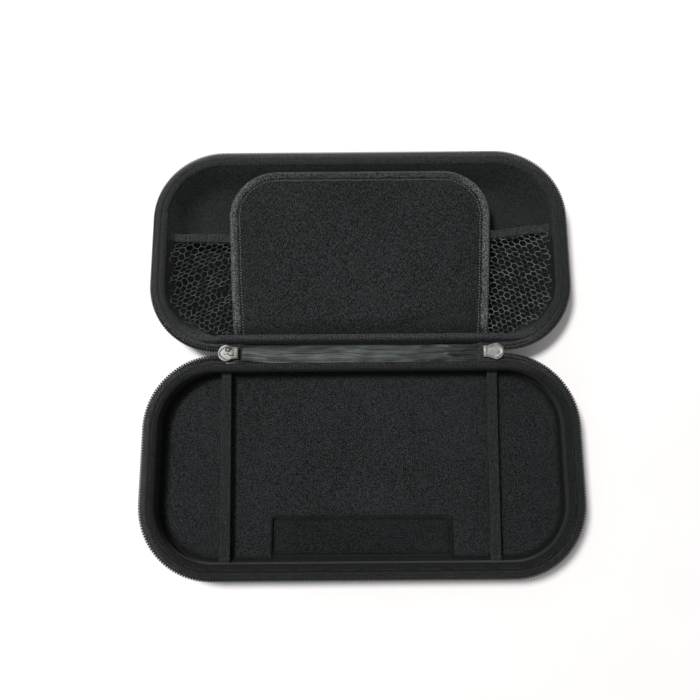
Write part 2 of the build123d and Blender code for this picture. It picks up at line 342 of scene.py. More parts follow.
class Growth:
    """A geometry tree while it is being made, with named sizes and a finish as its inputs."""

    def __init__(self, name, *sizes):
        self.tree = bpy.data.node_groups.new(name, "GeometryNodeTree")
        sockets = [("Geometry", "INPUT", "Geometry"), *((size, "INPUT", "Float") for size in sizes),
                   ("Finish", "INPUT", "Material"), ("Geometry", "OUTPUT", "Geometry")]
        for label, way, kind in sockets:
            self.tree.interface.new_socket(name=label, in_out=way, socket_type=f"NodeSocket{kind}")
        self.given = self.tree.nodes.new("NodeGroupInput").outputs

    def node(self, kind, inputs=None, **settings):
        """The first output of a new node."""
        return add_node(self.tree, kind, inputs, **settings).outputs[0]

    def points(self):
        """Evenly spaced points on the source's lines, and the direction of the lines there."""
        curve = self.node("GeometryNodeMeshToCurve", {"Mesh": self.given["Geometry"]})
        even = self.node("GeometryNodeResampleCurve", {"Curve": curve, "Length": self.given["Pitch"]},
                         mode="LENGTH")
        return even, self.node("GeometryNodeInputTangent")

    def turned(self, lay, angle):
        """A rotation turned further about its own Z."""
        twist = self.node("FunctionNodeAxisAngleToRotation", {"Axis": (0, 0, 1), "Angle": angle})
        return self.node("FunctionNodeRotateRotation", {"Rotation": lay, "Rotate By": twist},
                         rotation_space="LOCAL")

    def strand(self, curve, radius, sides):
        """A round strand along a curve."""
        ring = self.node("GeometryNodeCurvePrimitiveCircle", {"Resolution": sides, "Radius": radius})
        return self.node("GeometryNodeCurveToMesh", {"Curve": curve, "Profile Curve": ring})

    def closed(self, geometry):
        """The tree, ended in plain, smooth geometry with its finish."""
        real = self.node("GeometryNodeRealizeInstances", {"Geometry": geometry})
        soft = self.node("GeometryNodeSetShadeSmooth", {"Geometry": real})
        done = self.node("GeometryNodeSetMaterial", {"Geometry": soft, "Material": self.given["Finish"]})
        self.tree.links.new(done, self.tree.nodes.new("NodeGroupOutput").inputs["Geometry"])
        return self.tree


def stitch_tree():
    """A row of stitches along a line."""
    grow = Growth("stitch_row", "Pitch", "Length", "Width", "Height", "Slant")
    given = grow.given
    points, tangent = grow.points()
    grain = grow.node("GeometryNodeMeshUVSphere", {"Segments": 6, "Rings": 4, "Radius": 0.5})
    lay = grow.node("FunctionNodeAlignRotationToVector", {"Vector": tangent}, axis="X")
    turn = grow.turned(lay, given["Slant"])
    size = grow.node("ShaderNodeCombineXYZ",
                     {"X": given["Length"], "Y": given["Width"], "Z": given["Height"]})
    return grow.closed(grow.node("GeometryNodeInstanceOnPoints",
                                 {"Points": points, "Instance": grain, "Rotation": turn, "Scale": size}))


def teeth_tree():
    """Loops of the zip's coil along a line, their heads towards the line's head attribute."""
    grow = Growth("coil_teeth", "Pitch", "Height", "Width", "Wire", "Head", "Twist")
    given = grow.given
    points, tangent = grow.points()
    loop = grow.node("GeometryNodeCurvePrimitiveCircle", {"Resolution": 8, "Radius": 0.5})
    size = grow.node("ShaderNodeCombineXYZ", {"X": given["Height"], "Y": given["Width"], "Z": 1.0})
    oval = grow.node("GeometryNodeTransform", {"Geometry": loop, "Scale": size})
    stand = grow.node("GeometryNodeTransform", {"Geometry": oval, "Rotation": (0, math.pi / 2, 0)})
    tooth = grow.strand(stand, given["Wire"], 6)
    bulb = grow.node("GeometryNodeMeshUVSphere", {"Segments": 6, "Rings": 3, "Radius": 0.5})
    half = grow.node("ShaderNodeMath", {0: given["Height"], 1: 0.5}, operation="MULTIPLY")
    thick = grow.node("ShaderNodeMath", {0: given["Wire"], 1: 1.8}, operation="MULTIPLY")
    lift = grow.node("ShaderNodeCombineXYZ", {"Z": half})
    spread = grow.node("ShaderNodeCombineXYZ", {"X": given["Head"], "Y": given["Width"], "Z": thick})
    crown = grow.node("GeometryNodeTransform", {"Geometry": bulb, "Translation": lift, "Scale": spread})
    whole = add_node(grow.tree, "GeometryNodeJoinGeometry", {0: tooth})
    grow.tree.links.new(crown, whole.inputs[0])
    head = grow.node("GeometryNodeInputNamedAttribute", {"Name": "head"}, data_type="FLOAT_VECTOR")
    up = grow.node("FunctionNodeAlignRotationToVector", {"Vector": head}, axis="Z")
    lay = grow.node("FunctionNodeAlignRotationToVector", {"Rotation": up, "Vector": tangent},
                    axis="X", pivot_axis="Z")
    turn = grow.turned(lay, given["Twist"])
    return grow.closed(grow.node("GeometryNodeInstanceOnPoints",
                                 {"Points": points, "Instance": whole.outputs[0], "Rotation": turn}))


def thread_tree():
    """Threads along the edges of a net."""
    grow = Growth("net_threads", "Radius")
    curve = grow.node("GeometryNodeMeshToCurve", {"Mesh": grow.given["Geometry"]})
    return grow.closed(grow.strand(curve, grow.given["Radius"], 5))


def grown(source, tree, finish, **sizes):
    """The piece that a tree grows on a source mesh. Sizes are in millimetres, angles in degrees."""
    piece = new_piece(source.name, source, None)
    modifier = piece.modifiers.new(tree.name, "NODES")
    modifier.node_group = tree
    for item in tree.interface.items_tree:
        if item.in_out == "INPUT" and item.name in sizes:
            angle = item.name in ("Slant", "Twist")
            modifier[item.identifier] = math.radians(sizes[item.name]) if angle else sizes[item.name] * MM
        elif item.in_out == "INPUT" and item.name == "Finish":
            modifier[item.identifier] = finish
    graph = bpy.context.evaluated_depsgraph_get()
    plain = bpy.data.meshes.new_from_object(piece.evaluated_get(graph))
    piece.modifiers.remove(modifier)
    piece.data = plain
    plain.name = source.name
    return piece


# Finishes

class Finish:
    """A procedural material while it is being made."""

    def __init__(self, name, **values):
        self.material = bpy.data.materials.new(name)
        self.material.use_nodes = True
        self.tree = self.material.node_tree
        self.shader = self.tree.nodes["Principled BSDF"]
        for key, value in values.items():
            self.shader.inputs[key.replace("_", " ")].default_value = value

    def node(self, kind, inputs=None, **settings):
        return add_node(self.tree, kind, inputs, **settings)

    def place(self, uv=False, stretch=(1, 1, 1), turn=(0, 0, 0)):
        """The piece's own coordinates, or its cloth UVs, stretched and then turned."""
        coordinates = self.node("ShaderNodeTexCoord").outputs["UV" if uv else "Object"]
        return self.node("ShaderNodeMapping",
                         {"Vector": coordinates, "Scale": stretch, "Rotation": turn}).outputs[0]

    def noise(self, place, size, detail=2.0):
        """Noise with grains of about a size in millimetres."""
        made = self.node("ShaderNodeTexNoise", {"Vector": place, "Scale": 1 / (size * MM), "Detail": detail})
        return made.outputs["Fac"]

    def ribs(self, place, pitch, direction="X"):
        """Soft parallel ribs at a pitch in millimetres."""
        made = self.node("ShaderNodeTexWave", {"Vector": place, "Scale": math.pi / (10 * pitch * MM)},
                         bands_direction=direction, wave_profile="SIN")
        return made.outputs["Fac"]

    def math(self, operation, first, second):
        return self.node("ShaderNodeMath", {0: first, 1: second}, operation=operation).outputs[0]

    def mixed(self, first, first_share, second, second_share):
        """Two patterns added together, each by its share."""
        return self.math("ADD", self.math("MULTIPLY", first, first_share),
                         self.math("MULTIPLY", second, second_share))

    def share(self, value, low, high, first, last):
        """A share that runs from first to last while a value runs from low to high."""
        made = self.node("ShaderNodeMapRange", {"Value": value, "From Min": low, "From Max": high,
                                                "To Min": first, "To Max": last})
        return made.outputs[0]

    def tones(self, factor, *stops):
        """A colour that runs through stops, each a place from 0 to 1 and a linear colour."""
        ramp = self.node("ShaderNodeValToRGB", {"Fac": factor})
        elements = ramp.color_ramp.elements
        while len(elements) < len(stops):
            elements.new(0.5)
        for element, (position, colour) in zip(elements, stops):
            element.position = position
            element.color = colour
        return ramp.outputs["Color"]

    def speckled(self, pattern, colour, contrast, dark, bright):
        """A colour that a pattern breaks up into dark and bright specks."""
        spread = 0.2 / contrast
        return self.tones(pattern, (0.5 - spread, scaled(colour, dark)), (0.5, scaled(colour, 0.85)),
                          (0.5 + spread, scaled(colour, bright)))

    def faded(self, colour, fades):
        """A colour made lighter or darker along the case. Each fade gives an axis, where it
        starts and ends in millimetres, and the shares of the colour there."""
        where = self.node("ShaderNodeSeparateXYZ", {"Vector": self.place()}).outputs
        for axis, low, high, first, last in fades:
            colour = self.shaded(colour, self.share(where[axis], low * MM, high * MM, first, last))
        return colour

    def shaded(self, colour, share):
        """A share of a colour."""
        return self.node("ShaderNodeVectorMath", {0: colour, "Scale": share}, operation="SCALE").outputs[0]

    def set(self, socket, value):
        self.tree.links.new(value, self.shader.inputs[socket])

    def bump(self, height, depth):
        """Bump of a depth in millimetres."""
        made = self.node("ShaderNodeBump", {"Height": height, "Strength": 1.0, "Distance": depth * MM})
        self.set("Normal", made.outputs[0])


def scaled(colour, factor):
    """A colour made lighter or darker by a factor."""
    return [c * factor for c in colour[:3]] + [1.0]


def lining(name, colour, stretch=(1, 1, 1), grain=0.45, contrast=1.5, bright=3.0, steep=1.0, back=None,
           fades=()):
    """Brushed or knitted black fabric with a fine speckle. Painted shade can darken it on its slopes, such as
    walls and slot edges, and on level ground nearer the hinge than a line, under the net pocket."""
    cloth = Finish(name, Roughness=0.92, Specular_IOR_Level=0.12, Sheen_Weight=0.08, Sheen_Roughness=0.45)
    speckle = cloth.noise(cloth.place(stretch=stretch, turn=grain_turn), grain)
    drift = cloth.noise(cloth.place(), 48.0, 1.0)
    tone = cloth.speckled(cloth.mixed(speckle, 0.95, drift, 0.05), colour, contrast, 0.12, bright)
    # Painted shade: sloping faces, such as walls and slot edges, are darkened by the steep share.
    facing = cloth.node("ShaderNodeTexCoord").outputs["Normal"]
    level = cloth.node("ShaderNodeSeparateXYZ", {"Vector": facing}).outputs["Z"]
    tone = cloth.shaded(tone, cloth.share(level, 0.55, 0.96, steep, 1.0))
    # Painted shade under the net pocket: level ground nearer the hinge than the back line is darkened.
    if back is not None:
        depth = cloth.node("ShaderNodeSeparateXYZ", {"Vector": cloth.place()}).outputs["Y"]
        near = cloth.share(depth, (back - 3) * MM, back * MM, 0.65, 0.0)
        painted_pocket_shade = cloth.math("MULTIPLY", near, cloth.share(level, 0.3, 0.7, 0.0, 1.0))
        tone = cloth.shaded(tone, cloth.math("SUBTRACT", 1.0, painted_pocket_shade))
    cloth.set("Base Color", cloth.faded(tone, fades))
    cloth.bump(speckle, 0.1)
    return cloth.material


def ribbed(name, colour, pitch, direction="X", contrast=2.0, fades=()):
    """Woven cloth whose ribs cross or follow the piece."""
    cloth = Finish(name, Roughness=0.85, Specular_IOR_Level=0.18, Sheen_Weight=0.1, Sheen_Roughness=0.4)
    ribs = cloth.ribs(cloth.place(uv=True), pitch, direction)
    grain = cloth.noise(cloth.place(turn=grain_turn), 0.55)
    tone = cloth.speckled(cloth.mixed(ribs, 0.15, grain, 0.85), colour, contrast, 0.15, 2.8)
    cloth.set("Base Color", cloth.faded(tone, fades))
    cloth.bump(cloth.math("ADD", ribs, grain), 0.12)
    return cloth.material


def satin(name, colour, fades=()):
    """Smooth coated nylon with a fine weave, painted lighter and darker in lengthwise streaks as the
    highlights and shade of its creases.
    """
    cloth = Finish(name, Roughness=0.48, Specular_IOR_Level=0.35, Sheen_Weight=0.1)
    streaks = cloth.noise(cloth.place(stretch=(0.22, 1, 1)), 3.4, 3.0)
    weave = cloth.noise(cloth.place(), 0.5)
    mixed = cloth.mixed(streaks, 0.75, weave, 0.25)
    tone = cloth.tones(mixed, (0.36, scaled(colour, 0.3)), (0.5, colour), (0.64, scaled(colour, 1.9)))
    cloth.set("Base Color", cloth.faded(tone, fades))
    cloth.bump(mixed, 0.25)
    return cloth.material


def filament(name, colour, roughness, shine=0.5, patch=1.3, dull=0.7, fades=()):
    """Nylon thread, duller in patches of a size in millimetres."""
    strand = Finish(name, Specular_IOR_Level=shine)
    grain = strand.noise(strand.place(), patch)
    tone = strand.tones(grain, (0.36, scaled(colour, dull)), (0.64, scaled(colour, 1.4)))
    strand.set("Base Color", strand.faded(tone, fades))
    spread = strand.math("MULTIPLY", grain, 0.2)
    strand.set("Roughness", strand.math("ADD", spread, roughness))
    return strand.material


def nickel(name, colour, roughness):
    """Cast metal with a satin plating, a little uneven and worn."""
    metal = Finish(name, Metallic=1.0)
    patches = metal.noise(metal.place(), 2.2, 3.0)
    scratches = metal.noise(metal.place(stretch=(0.15, 1, 1)), 0.35)
    metal.set("Base Color", metal.tones(patches, (0.3, scaled(colour, 0.7)), (0.65, colour)))
    worn = metal.mixed(scratches, 0.25, patches, 0.15)
    metal.set("Roughness", metal.math("ADD", worn, roughness))
    metal.bump(metal.math("ADD", patches, scratches), 0.06)
    return metal.material


# Painted shade: the sunken slot is darkened below the liner's top, slopes are darkened by the steep share,
# and the liner grows darker towards the right as a painted light falloff.
lining_cloth = lining("lining_cloth", linear(19, 21.5, 21.5), grain=0.48, contrast=5.0, bright=4.6,
                      steep=0.25, fades=[("Z", tray_top - 1.5, tray_top - 0.5, 0.7, 1.0),
                                         ("X", 40, 120, 1.0, 0.85)])
# Painted shade under the net pocket: the lid's floor is darkened nearer the hinge than the hem.
shell_cloth = lining("shell_cloth", linear(30, 32, 32), back=hem_low[1])
# Painted light and shade: the base's band is a darker copy of the lid's band cloth, painted lighter along its
# hinge side, which faces the lamp.
band_weave = ribbed("band_weave", linear(17, 18, 18), 0.9,
                    fades=[("Y", -hinge_gap - 8, -hinge_gap - 4, 1.0, 1.8)])
# Painted light and shade: the lid's band is a lighter copy of the same cloth, with painted shade on its outer
# edge by the hinge and a painted highlight on its raised crest there.
lid_band_weave = ribbed("lid_band_weave", linear(31, 32, 33), 0.9,
                        fades=[("Y", hinge_gap + 1.0, hinge_gap + 2.4, 0.3, 1.0),
                               ("Y", hinge_gap + 5, hinge_gap + 14, 1.7, 1.0)])
# Painted shade: the base's zip tape is a darker copy of the lid's tape cloth, painted darker still along the
# front and the right side; the zip ends use it too.
tape_weave = ribbed("tape_weave", linear(36, 38, 39), 0.7, direction="DIAGONAL",
                    fades=[("Y", -134, -110, 0.55, 1.0), ("X", 105, 130, 1.0, 0.55)])
# Painted light and shade: the lid's zip tape is a lighter copy of the same cloth, painted darker along its
# left and right sides.
lid_tape_weave = ribbed("lid_tape_weave", linear(45, 47, 48), 0.7, direction="DIAGONAL",
                        fades=[("X", -130, -105, 0.65, 1.0), ("X", 105, 130, 1.0, 0.45)])
elastic_weave = ribbed("elastic_weave", linear(27, 29, 29), 0.8, direction="Y", contrast=3.2)
hem_weave = ribbed("hem_weave", linear(38, 40, 40), 0.8, direction="Y")
# Painted shade: the flap is darkened towards its seam, where it curves down to the rim.
flap_weave = lining("flap_weave", linear(24, 26.5, 26.5), stretch=(1, 0.2, 1), grain=0.27, contrast=2.4,
                    bright=3.6, fades=[("Y", flap_low[1] + 1, flap_low[1] + 13, 0.6, 1.0)])
# Painted shade: the flap's binding is darkened towards the seam, where it sinks under the rim band; it also
# grows darker towards its far edge.
flap_band_weave = lining("flap_band_weave", linear(64, 66, 66), grain=0.8, contrast=1.3,
                         fades=[("Y", flap_low[1] + 1, flap_low[1] + 12, 0.35, 1.0),
                                ("Y", flap_high[1] - 11, flap_high[1] - 5, 1.0, 0.55)])
# Painted shade: the hinge strip is darkened towards its right end, where it folds into shadow.
strip_nylon = satin("strip_nylon", linear(54, 60, 58), fades=[("X", 52, 68, 1.0, 0.45)])
net_thread = filament("net_thread", linear(78, 82, 81), 0.5, shine=0.3, patch=5.0, dull=0.1,
                      fades=[("X", -50, 50, 0.85, 1.55)])
coil_nylon = filament("coil_nylon", linear(12, 13, 13), 0.22, shine=0.55)
seam_thread = filament("seam_thread", linear(60, 62, 62), 0.55)
flap_thread = filament("flap_thread", linear(112, 113, 112), 0.55)
plated = nickel("plated", linear(160, 158, 154), 0.28)
cast = nickel("cast", linear(100, 101, 97), 0.26)
pull_plated = nickel("pull_plated", linear(150, 149, 146), 0.28)

stitch_row = stitch_tree()
coil_teeth = teeth_tree()
net_strands = thread_tree()


# Rim bands and their seams

def beside_hinge(half, distance):
    """1 where the lid's rim runs along the hinge and its band is raised, and 0 elsewhere."""
    if half == "base":
        return 0.0
    return 1 - ease(abs(distance - rim.length / 2), raised_from, raised_to)


def rim_band(half):
    """The cloth folded over the rim of one half."""
    line = smooth_line(band_line)
    deep = -line[:, 0]
    raised = np.stack([-lid_band_bulge * ease(deep, 1, 3),
                       lid_band_lift * ease(deep, 0.3, 2.6) - lid_band_dip], 1)
    steps = np.linspace(0, rim.length, 351)[:-1]
    rings = []
    for s in steps:
        puff = ripple(s, (0.09, 23.4, 0.3), (0.07, 9.7, 1.1), (0.05, 5.3, 2.0))
        fold = line + np.array([0, puff]) * ease(line[:, 1:], -1, 1) + raised * beside_hinge(half, s)
        rings.append(rim_ring(half, s, fold, band_cloth))
    return skin(f"{half}_rim_band", rings, [*steps, rim.length],
                band_weave if half == "base" else lid_band_weave, path_closed=True)


def rim_seam(half):
    """The stitches that hold the rim band and the zip tape."""
    points = []
    for s in np.linspace(0, rim.length, 701):
        near = beside_hinge(half, s)
        out = -1.15 - 2.2 * near + ripple(s, (0.12, 31, 0), (0.08, 11, 1))
        points.append(rim_place(half, s, out, rim_z + 1.1 + 1.0 * near))
    return grown(wire(f"{half}_rim_seam", points), stitch_row, seam_thread,
                 Pitch=2.1, Length=1.3, Width=0.36, Height=0.34, Slant=16)


def tape_line(distance):
    """Middle line of the zip tape's section: up from its sewn foot, then out to its free edge."""
    opened = ease(abs(distance), zip_end - tape_turn, zip_end)
    return smooth_line(np.array(tape_shape) * (1 - opened) + np.array(tape_flat) * opened)


def zip_tape(half):
    """The tape round one half, which lies flat where it runs into the sliders."""
    steps = np.linspace(-zip_end - tape_tuck, zip_end + tape_tuck, 301)
    rings = [rim_ring(half, s, tape_line(s), tape_cloth) for s in steps]
    return skin(f"{half}_zip_band", rings, steps, tape_weave if half == "base" else lid_tape_weave)


def zip_teeth(half):
    """The coil on the free edge of the tape."""
    points, heads = [], []
    for s in np.linspace(-zip_end - tape_tuck, zip_end + tape_tuck, 601):
        line = tape_line(s)
        lean = (line[-1] - line[-2]) / np.linalg.norm(line[-1] - line[-2]) + (tooth_flare, 0)
        lean /= np.linalg.norm(lean)
        out, up = line[-1] - lean * tooth_seat + (0, tooth_lift)
        points.append(rim_place(half, s, out, rim_z + up))
        tip = rim_place(half, s, *(line[-1] + lean + (0, rim_z)))
        heads.append(np.array(tip) - rim_place(half, s, *(line[-1] + (0, rim_z))))
    return grown(wire(f"{half}_zip_teeth", points, head=heads), coil_teeth, coil_nylon,
                 Pitch=tooth_pitch, Height=tooth_height, Width=tooth_width, Wire=tooth_wire, Head=tooth_head,
                 Twist=18)


for half in SIDES:
    side = SIDES[half]
    band = rim_band(half)
    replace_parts(band, f"{half}_binding")
    for piece in (band, rim_seam(half)):
        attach(piece, half)
    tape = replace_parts(zip_tape(half), f"{half}_zip_tape")
    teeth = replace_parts(zip_teeth(half), f"{half}_zip_coil")
    for piece in (tape, teeth):
        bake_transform(piece)


# Liner of the base

def outline_half_width(x, half_long, half_wide, corner):
    """Half the width of a rounded rectangle at a distance from its middle."""
    over = np.clip(np.abs(x) - (half_long - corner), 0, corner)
    return half_wide - corner + np.sqrt(np.maximum(corner ** 2 - over ** 2, 0))


def inside(x, y, half_long, half_wide, corner):
    """How deep a point lies inside a rounded rectangle."""
    over_x = np.abs(x) - (half_long - corner)
    over_y = np.abs(y) - (half_wide - corner)
    outer = np.hypot(np.maximum(over_x, 0), np.maximum(over_y, 0))
    return corner - outer - np.minimum(np.maximum(over_x, over_y), 0)


def grid_lines(low, high, step, *edges):
    """Places from low to high, closer together outside the edges of a slot."""
    places = list(np.linspace(low, high, int((high - low) / step) + 1))
    fine = np.linspace(-3.2, 1.8, 26)
    for edge, outward in zip(edges, (-1, 1)):
        places = [p for p in places if abs(p - edge - 0.7 * outward) > 2.9] + list(edge - outward * fine)
    return np.array(sorted(p for p in places if low <= p <= high))


def liner_height(x, y, long, wide, corner):
    """Top of the liner: a sunken slot, a cove along the walls and a soft unevenness."""
    slot_y = y - (slot_edge + slot_width / 2 - half_width)
    deep = inside(x, slot_y, slot_length / 2, slot_width / 2, slot_corner)
    sunk = 1 - np.sqrt(1 - np.clip(deep / slot_roll + 1, 0, 1) ** 2)
    depth = np.clip(cove - inside(x, y, long, wide, corner), 0, cove)
    rise = cove - np.sqrt(cove ** 2 - depth ** 2)
    uneven = ripple(x + 0.4 * y, (0.10, 61, 0), (0.07, 33, 2)) + ripple(y, (0.06, 27, 1))
    groove = slot_groove * np.exp(-((deep - 0.2) / 0.9) ** 2)
    return tray_top + uneven - slot_depth * sunk - groove + np.minimum(rise, cove - 0.4)


def base_liner():
    """The padded liner, laid on a grid that follows the wall."""
    long, wide = (tray_high - tray_low)[:2] / 2 + 0.5
    corner = rim_corner - (half_length - long)
    straight = long - corner
    turn = straight + corner * np.sin(np.linspace(0, np.pi / 2, 26)[1:])
    middle = grid_lines(-straight, straight, 2.5, -slot_length / 2, slot_length / 2)
    xs = np.concatenate([-turn[::-1], middle, turn])
    slot_low = slot_edge - half_width
    ys = grid_lines(-wide + cove, wide - cove, 2.5, slot_low, slot_low + slot_width)
    shares = np.concatenate([np.linspace(-wide, -wide + cove, 9)[:-1], ys,
                             np.linspace(wide - cove, wide, 9)[1:]]) / wide
    rows = []
    for x in xs:
        y = shares * outline_half_width(x, long, wide, corner)
        z = liner_height(np.full_like(y, x), y, long, wide, corner)
        rows.append([on_half("base", x, b, c) for b, c in zip(y, z)])
    liner = skin("base_liner", rows, xs, lining_cloth, ring_closed=False, angle=80)
    with reworked(liner.data) as work:
        rim_edges = [edge for edge in work.edges if edge.is_boundary]
        foot = bmesh.ops.extrude_edge_only(work, edges=rim_edges)["geom"]
        for vertex in [v for v in foot if isinstance(v, bmesh.types.BMVert)]:
            vertex.co.z = (tray_low[2] + 0.2) * MM
        bmesh.ops.contextual_create(work, geom=[e for e in foot if isinstance(e, bmesh.types.BMEdge)])
    finish_mesh(liner.data, 80)
    return liner


liner = base_liner()
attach(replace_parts(liner, "base_tray"), "base")


# Elastic straps

def strap_section(width, cloth, ribs):
    """A band with lengthwise ribs, as points across it and up."""
    across = np.linspace(-width / 2, width / 2, 4 * ribs + 1)
    top = cloth / 2 + 0.16 * np.abs(np.sin(np.pi * ribs * (across / width + 0.5)))
    return np.vstack([np.stack([across, top], 1), np.stack([across[::-1], -top[::-1]], 1)])


def strap(node):
    """An elastic strap, taut over the liner, its ends turned up under the rim band."""
    low, high = node_box(node)
    middle, width = (low[0] + high[0]) / 2 + strap_shift[node], high[0] - low[0]
    length = high[1] - low[1]
    level = low[2] + strap_cloth / 2
    end = [(0.4, high[2]), (0.9, level + 0.9), (2.4, level + 0.1), (8, level)]
    path = smooth_line([*((low[1] + y, z) for y, z in end), (-half_y, level - strap_sag),
                        *((high[1] - y, z) for y, z in end[::-1])], 8)
    run = np.gradient(path, axis=0)
    run /= np.linalg.norm(run, axis=1)[:, None]
    section = strap_section(width, strap_cloth, strap_ribs)
    rings = []
    for (y, z), (run_y, run_z) in zip(path, run):
        x = middle + math.copysign(strap_splay, middle) * (2 * (y - low[1]) / length - 1)
        rings.append([(x + a, y - run_z * b, z + run_y * b) for a, b in section])
    along = np.concatenate([[0], np.cumsum(np.linalg.norm(np.diff(path, axis=0), axis=1))])
    return skin(f"{node}_band", rings, along, elastic_weave, angle=70)


def strap_seam(node):
    """The stitches across both ends of a strap."""
    low, high = node_box(node)
    points, edges = [], []
    for y, inward in ((low[1], 1), (high[1], -1)):
        shift = strap_shift[node] - inward * math.copysign(strap_splay, low[0])
        for row in (2.2, 3.1):
            edges.append((len(points), len(points) + 1))
            level = low[2] + 1.25 + (0.25 if row < 3 else 0)
            points += [(low[0] + shift + 0.3, y + inward * row, level),
                       (high[0] + shift - 0.3, y + inward * row, level)]
    return grown(wire(f"{node}_seam", points, edges), stitch_row, seam_thread,
                 Pitch=1.3, Length=0.95, Width=0.32, Height=0.3, Slant=12)


for node in ("strap_left", "strap_right"):
    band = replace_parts(strap(node), node)
    for piece in (band, strap_seam(node)):
        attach(piece, "base")


# Lining of the lid

def lid_lining():
    """The lining cloth, stretched over the corner between the lid's wall and its floor."""
    line, steep = smooth_line(lining_slope), smooth_line(lining_wall)
    steps = np.linspace(0, rim.length, 261)[:-1]
    rings = []
    for s in steps:
        share = ease(abs(s - rim.length / 2), 85, 150)
        rings.append(rim_ring("lid", s, steep + (line - steep) * share, lining_thickness))
    return skin("lid_lining", rings, [*steps, rim.length], shell_cloth, path_closed=True, angle=80)


lining_ring = lid_lining()
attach(lining_ring, "lid")


# Net pocket in the lid

def hem_y(x):
    """The hem's line across the lid, pulled up at its ends."""
    middle = (hem_low[1] + hem_high[1]) / 2
    return middle - 2.0 + 1.7 * ease(x, 20, 80) + 3.5 * ease(x, 84, 124) + 0.8 * ease(-x, 70, 120)


def net_fold(x, y):
    """Place across the net's pleats, which fall towards both walls."""
    return np.abs(x) * math.sin(pleat_lean) + y * math.cos(pleat_lean)


def climb(x, y, z):
    """How far a cloth at a height climbs the lining beside the lid's ends."""
    out, up = np.array(lining_slope).T
    deep = inside(x, y - half_y, half_length, half_width, rim_corner)
    slope = rim_z + np.interp(deep, -out, up) + 0.6
    turned = np.arctan2(np.maximum(np.abs(x) - half_length + rim_corner, 0),
                        np.maximum(half_y - half_width + rim_corner - y, 0.01))
    return np.maximum(slope - z, 0) * ease(rim_corner * turned, 0, 55)


def net_z(x, y):
    """The net's bulge over what it would hold, with soft pleats."""
    across = np.clip(1 - (x / (net_high[0] + 2)) ** 6, 0, 1)
    depth = (y - net_low[1]) / (hem_low[1] - net_low[1])
    swell = np.clip(np.sin(np.pi * np.clip(depth, 0, 1)), 0, 1) * across
    wave = ripple(net_fold(x, y), (0.8, 17, 0.4), (0.4, 9.3, 1.9)) * swell
    z = (net_low[2] + net_high[2]) / 2 - 0.4 + 1.2 * swell + wave
    return z + climb(x, y, z)


def net_mesh():
    """Six-sided cells in rows that fall towards both walls and gather in pleats."""
    points, edges, index = [], [], {}

    def knot(column, row):
        key = (column, row)
        if key not in index:
            angle = column * cell / 2 / net_bend
            reach = net_bend + cell * (row_step * row + (knot_rise if (column + row) % 2 else 0))
            x = reach * math.sin(angle)
            y = reach * math.cos(angle) - net_bend + net_low[1] - 4
            loose = 1 - 0.6 * ease(x, 0, 60)
            gather = loose * ripple(net_fold(x, y), (0.9, 17, 1.6), (0.5, 9.3, 3.1))
            drift_x = loose * ripple(y + 0.5 * x, (0.3, 19, 0.5), (0.3, 8.1, 2.2))
            drift_y = loose * ripple(x - 0.4 * y, (0.3, 23, 1.2), (0.3, 7.7, 0.1))
            x += math.copysign(gather * math.sin(pleat_lean), x) + drift_x
            y += gather * math.cos(pleat_lean) + drift_y
            index[key] = len(points)
            points.append((x, y, net_z(x, y)))
        return index[key]

    for row in range(net_rows):
        for column in range(-net_columns, net_columns + 1):
            here = knot(column, row)
            if (column + row) % 2:
                edges.append((here, knot(column, row + 1)))
            else:
                edges.append((here, knot(column + 1, row)))
                edges.append((here, knot(column - 1, row)))
    places = np.array(points)
    deep = inside(places[:, 0], places[:, 1] - half_y, half_length - net_inset, half_width - net_inset,
                  rim_corner - net_inset)
    kept = (deep > 0) & (places[:, 1] < hem_y(places[:, 0]) + 2.2)
    used = [e for e in edges if kept[e[0]] and kept[e[1]]]
    return wire("pocket_net", points, used)


def net_hem():
    """The gathered elastic hem along the pocket's mouth."""
    end_x = half_length - net_inset - 0.4
    xs = np.linspace(-end_x, end_x, 381)
    level = (hem_low[2] + hem_high[2]) / 2 + 0.35
    section = strap_section(hem_high[1] - hem_low[1] + 1.0, 1.4, 3)
    rings = []
    for x in xs:
        gather = ripple(x, (0.16, 2.7, 0), (0.12, 4.3, 1.3), (0.15, 13.7, 0.6))
        up = level + gather + climb(x, hem_y(x), level)
        rings.append([(x, hem_y(x) + a * (1 + 0.06 * gather), up + b) for a, b in section])
    return skin("pocket_hem", rings, xs, hem_weave, angle=70)


net = grown(net_mesh(), net_strands, net_thread, Radius=thread_radius)
hem = net_hem()
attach(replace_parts(net, "mesh_pocket"), "lid")
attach(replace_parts(hem, "mesh_elastic"), "lid")


# Padded flap

flap_tip = flap_high[1] - flap_pull
flap_run = Run([(flap_seam_half, flap_low[1]), (flap_free_half, flap_tip),
                (-flap_free_half, flap_tip), (-flap_seam_half, flap_low[1])], flap_corner)
flap_level = (flap_low[2] + flap_high[2]) / 2 - flap_drop


def flap_half_width(y):
    """Half the flap's width at a distance from its seam."""
    slope = (flap_free_half - flap_seam_half) / (flap_tip - flap_low[1])
    straight = flap_seam_half + slope * (y - flap_low[1])
    over = np.clip(y - (flap_tip - flap_corner), 0, flap_corner)
    return straight - (flap_corner - math.sqrt(flap_corner ** 2 - over ** 2)) * 0.97


def flap_root(x, y):
    """How far the flap sinks towards its seam, most of all at its sides."""
    reach = y - flap_low[1]
    return 0.9 * (1 - ease(reach, 0, 9)) + 2.3 * (1 - ease(reach, 17, 29)) * ease(np.abs(x), 66, 75)


